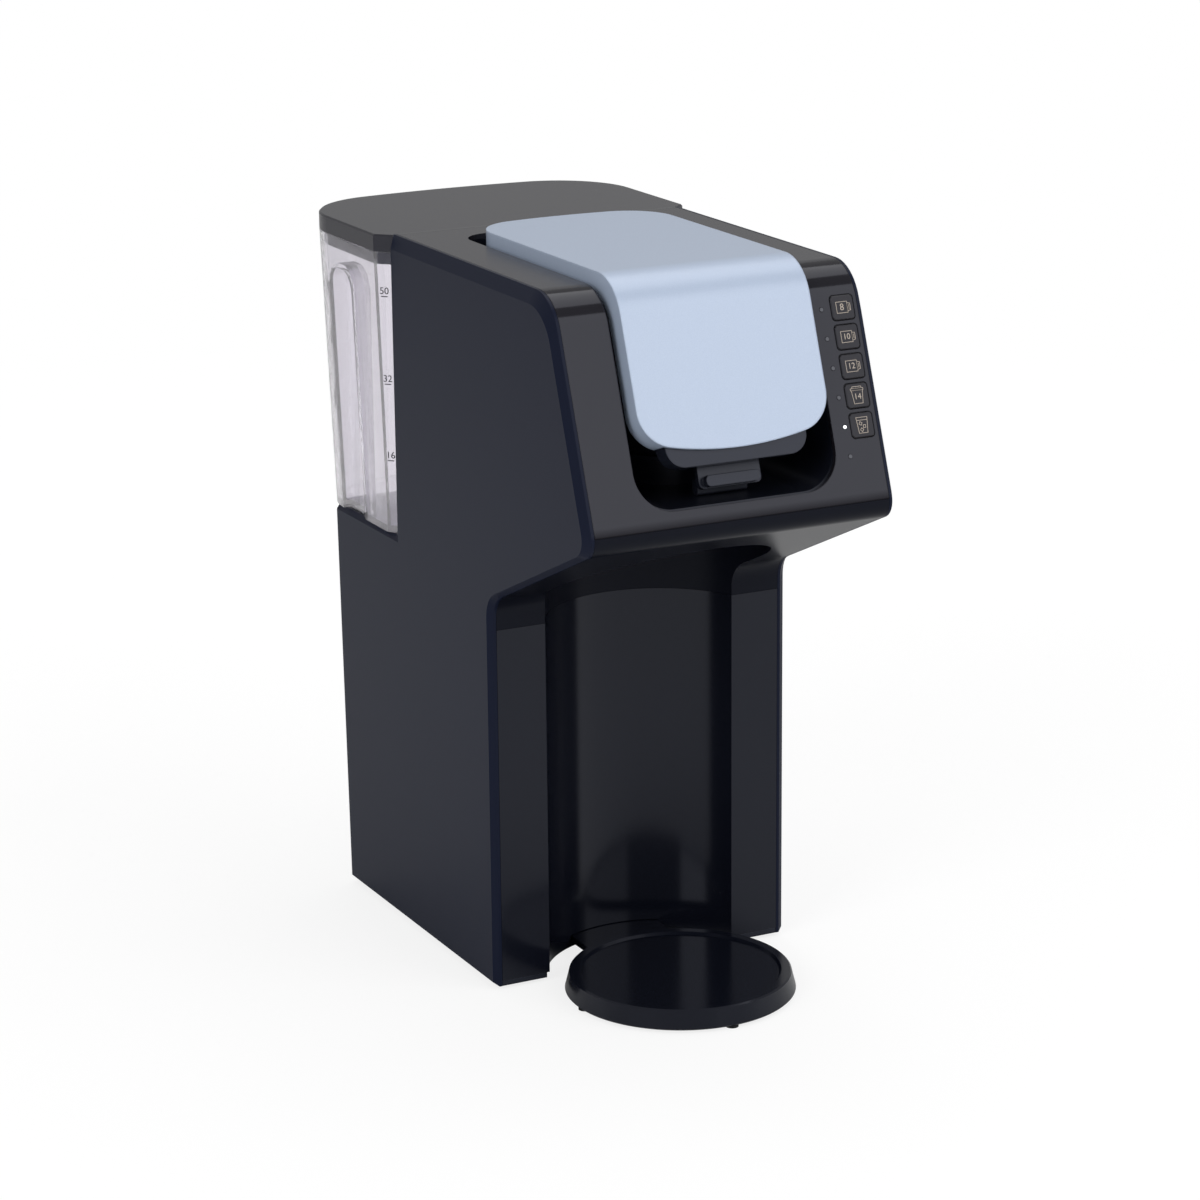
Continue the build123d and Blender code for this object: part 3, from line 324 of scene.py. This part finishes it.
def dress_casing():
    """The finishes of the CAD's own pieces."""
    side = grained(finish("side_plastic", (0.009, 0.012, 0.027), 0.3, 0.1), 0.0006, 0.000004, 0.04)
    dress(side, "left_side_panel", "right_side_panel")
    fascia = softened_edges(finish("fascia_plastic", (0.010, 0.009, 0.012), 0.1, 0.36), 0.0007)
    # Painted shade: the control face's downward-facing lower lip has its sheen cut, so it reads dark.
    dress(painted_shade_below(fascia, 0.2, FACE_FOOT_Z, FACE_FOOT_Z + LIP_HEIGHT), "front_panel")
    gloss = finish("casing_plastic", (0.005, 0.006, 0.011), 0.16, 0.4)
    dress(gloss, "bay_wall", "rear_cover", "tank_cradle", "cup_rest")
    # Painted shade: the head's underside has its sheen cut low, so it reads dark in the shade under the
    # head.
    dress(finish("underside_plastic", (0.006, 0.007, 0.012), 0.28, 0.12), "head_underside")
    dress(finish("well_plastic", (0.006, 0.007, 0.012), 0.3, 0.3), "brew_well")
    deck = grained(finish("deck_plastic", (0.020, 0.019, 0.024), 0.26, 0.5), 0.0005, 0.000003, 0.03)
    dress(deck, "top_deck", "tank_lid")
    dress(metallic_paint(), "lid_cover")
    inner = softened_edges(finish("inner_plastic", (0.012, 0.014, 0.022), 0.24, 0.35), 0.0006)
    dress(inner, "lid_liner", "lid_latch", "well_catch", "pod_basket", "base_plate")
    cap = grained(finish("button_plastic", (0.014, 0.012, 0.013), 0.42, 0.4), 0.0004, 0.000003)
    dress(cap, *BUTTONS)
    dress(clear_plastic("tank_plastic", (0.82, 0.80, 0.85), 0.03, 0.86), "water_tank")
    rubber = finish("black_rubber", (0.014, 0.014, 0.014), 0.75, 0.3)
    dress(rubber, "rubber_feet", "cup_rest_pads", "cord_gland", "lid_gasket", "spigot_ring", "button_domes")
    steel = finish("bright_steel", (0.62, 0.62, 0.64), 0.28, metallic=1.0)
    dress(steel, "lid_hinge_pin", "lower_needle", "upper_needle", "latch_pin", "base_screws")
    dress(finish("unlit_lens", (0.06, 0.06, 0.065), 0.25, 0.6), "indicator_lights")
    dress(finish("fitting_plastic", (0.6, 0.6, 0.58), 0.5), "inlet_seat", "tank_valve")
    dress(finish("hose_silicone", (0.62, 0.62, 0.6), 0.45), "inlet_tube", "link_tube", "riser_tube")
    dress(finish("heater_casting", (0.45, 0.45, 0.47), 0.5, metallic=1.0), "heater")
    dress(finish("pump_plastic", (0.02, 0.02, 0.02), 0.5), "pump")
    dress(finish("board_lacquer", (0.02, 0.11, 0.05), 0.4), "control_board")


# Places on the sloped control face
def face_matrix(x, z, proud):
    """A frame on the control face: x to the right, y up the face, z out of it."""
    y = FACE_FOOT_Y + tan(FACE_TILT) * (z - FACE_FOOT_Z) - proud * cos(FACE_TILT)
    right = Vector((1, 0, 0))
    up = Vector((0, sin(FACE_TILT), cos(FACE_TILT)))
    turn = Matrix((right, up, right.cross(up))).transposed().to_4x4()
    return Matrix.Translation(Vector((x, y, z + proud * sin(FACE_TILT)))) @ turn


def button_z(row):
    """Height of a button's middle, or of the light beside it, counted from the top."""
    return BUTTON_TOP_Z - row * BUTTON_PITCH * cos(FACE_TILT)


# Printed marks
def settle(piece, matrix, name, material, body):
    """Moves a mesh drawn flat at the origin to its place, names it, and fixes it to its body."""
    piece.data.transform(matrix @ piece.matrix_basis)
    piece.matrix_basis = Matrix.Identity(4)
    piece.name = name
    piece.data.name = name
    piece.data.materials.clear()
    piece.data.materials.append(material)
    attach(piece, body)


def printed_text(words, height):
    """Flat lettering as a thin mesh, centred at the origin."""
    bpy.ops.object.select_all(action="DESELECT")
    bpy.ops.object.text_add(location=(0, 0, 0))
    text = bpy.context.object
    text.data.body = words
    text.data.size = height
    text.data.align_x = "CENTER"
    text.data.align_y = "CENTER"
    text.data.extrude = PRINT_THICKNESS
    text.data.resolution_u = 4
    bpy.ops.object.convert(target="MESH")
    return bpy.context.object


def flat_patch(corners):
    """A flat face with four corners in millimetres, left in edit mode with all of it selected."""
    bpy.ops.object.select_all(action="DESELECT")
    bpy.ops.mesh.primitive_plane_add(size=1, location=(0, 0, 0))
    patch = bpy.context.object
    for index, (x, y) in zip(patch.data.polygons[0].vertices, corners):
        patch.data.vertices[index].co = (x / 1000, y / 1000, -PRINT_THICKNESS)
    bpy.ops.object.mode_set(mode="EDIT")
    bpy.ops.mesh.select_all(action="SELECT")


def thicken_print():
    """Gives the flat face in edit mode the print's thickness."""
    bpy.ops.mesh.select_all(action="SELECT")
    bpy.ops.mesh.extrude_region_move(TRANSFORM_OT_translate={"value": (0, 0, 2 * PRINT_THICKNESS)})
    bpy.ops.mesh.select_all(action="SELECT")
    bpy.ops.mesh.normals_make_consistent(inside=False)
    bpy.ops.object.mode_set(mode="OBJECT")
    return bpy.context.object


def printed_frame(corners):
    """A thin line round four corners in millimetres."""
    flat_patch(corners)
    bpy.ops.mesh.inset(thickness=LINE, depth=0)
    bpy.ops.mesh.delete(type="ONLY_FACE")
    return thicken_print()


def printed_bar(left, right, bottom, top):
    """A thin filled bar, its sides in millimetres."""
    flat_patch([(left, bottom), (right, bottom), (right, top), (left, top)])
    return thicken_print()


def joined(pieces):
    """Several flat pieces as one mesh."""
    bpy.ops.object.select_all(action="DESELECT")
    for piece in pieces:
        piece.select_set(True)
    bpy.context.view_layer.objects.active = pieces[0]
    if len(pieces) > 1:
        bpy.ops.object.join()
    return bpy.context.object


def mug_outline():
    """A mug seen from the side: body and handle."""
    body = [(-3.0, -2.3), (2.1, -2.3), (2.1, 2.3), (-3.0, 2.3)]
    handle = [(1.9, -1.7), (3.4, -1.4), (3.4, 1.4), (1.9, 1.7)]
    return [printed_frame(body), printed_frame(handle), printed_bar(2.6, 2.8, -0.9, 0.9)]


def travel_cup_outline():
    """A tall lidded cup that narrows to its foot."""
    body = [(-2.0, -3.3), (2.0, -3.3), (2.6, 2.1), (-2.6, 2.1)]
    rim = [(-2.9, 1.9), (2.9, 1.9), (2.9, 2.9), (-2.9, 2.9)]
    top = [(-2.3, 2.7), (2.3, 2.7), (2.0, 3.6), (-2.0, 3.6)]
    return [printed_frame(body), printed_frame(rim), printed_frame(top)]


def iced_cup_outline():
    """A tumbler with cubes of ice in it."""
    body = [(-2.0, -3.3), (2.0, -3.3), (2.6, 3.1), (-2.6, 3.1)]
    lines = [printed_frame(body), printed_bar(-2.4, 2.4, 1.8, 2.0)]
    for x, y, turn in ((-0.8, 0.6, 0.3), (0.8, -0.6, 0.8), (-0.5, -1.9, 0.1)):
        quarters = [turn + k * pi / 2 for k in range(4)]
        lines.append(printed_frame([(x + 0.9 * cos(q), y + 0.9 * sin(q)) for q in quarters]))
    return lines


def lettering_at(words, height, x, y):
    """Flat lettering centred at a place."""
    text = printed_text(words, height)
    text.location = (x, y, 0)
    bpy.ops.object.transform_apply(location=True)
    return text


def print_button_marks():
    """Each button's number in its cup outline, in pale copper ink."""
    ink = finish("copper_ink", (0.52, 0.45, 0.38), 0.45, 0.3)
    marks = [
        mug_outline() + [lettering_at("8", ONE_DIGIT, -0.00045, 0)],
        mug_outline() + [lettering_at("10", TWO_DIGITS, -0.00045, 0)],
        mug_outline() + [lettering_at("12", TWO_DIGITS, -0.00045, 0)],
        travel_cup_outline() + [lettering_at("14", TWO_DIGITS, 0, -0.0005)],
        iced_cup_outline(),
    ]
    enlarged = Matrix.Diagonal((MARK_SCALE, MARK_SCALE, 1, 1))
    for row, (button, pieces) in enumerate(zip(BUTTONS, marks)):
        place = face_matrix(BUTTON_X, button_z(row), BUTTON_PROUD + PRINT_THICKNESS)
        settle(joined(pieces), place @ enlarged, f"mark_{button}", ink, button)


def light_the_lowest_light():
    """The light beside the lowest button is on."""
    bpy.ops.object.select_all(action="DESELECT")
    bpy.ops.mesh.primitive_cylinder_add(vertices=20, radius=LIGHT_RADIUS, depth=0.0003, location=(0, 0, 0))
    place = face_matrix(LIGHT_X + LIT_ROW * LIGHT_STEP, button_z(LIT_ROW), LIGHT_PROUD)
    glow = glowing("white_glow", (0.9, 0.95, 1.0), 1.6)
    settle(bpy.context.object, place, "lit_light", glow, "casing")


def wrap_on_tank(piece, z):
    """Lays flat lettering on the tank's rounded front left corner at height z."""
    tank = nodes["water_tank"]
    into_tank = tank.matrix_world.inverted()
    out = Vector((-cos(TANK_MARK_TURN), -sin(TANK_MARK_TURN), 0))
    right = Vector((sin(TANK_MARK_TURN), -cos(TANK_MARK_TURN), 0))
    middle = Vector((TANK_CORNER - TANK_HALF_WIDTH, DECK_BACK_Y + TANK_GAP + TANK_CORNER, z))
    for corner in piece.data.vertices:
        start = middle + out * 0.03 + right * corner.co.x + Vector((0, 0, corner.co.y))
        met, place, *_ = tank.ray_cast(into_tank @ start, into_tank.to_3x3() @ -out)
        if met:
            corner.co = tank.matrix_world @ place + out * (2 * PRINT_THICKNESS + corner.co.z)


def print_tank_marks():
    """Plain numbers and ticks on the tank's corner."""
    ink = finish("dark_ink", (0.02, 0.02, 0.025), 0.5, 0.3)
    for number, z in TANK_MARKS.items():
        tick = printed_bar(-1.6, 1.6, -0.22, 0.22)
        mark = joined([lettering_at(number, TANK_TEXT, 0, TANK_TEXT_RISE), tick])
        wrap_on_tank(mark, z)
        settle(mark, Matrix.Identity(4), f"tank_mark_{number}", ink, "water_tank")


place_camera()
build_studio()
dress_casing()
print_button_marks()
light_the_lowest_light()
print_tank_marks()

bpy.context.scene.view_settings.view_transform = "Standard"
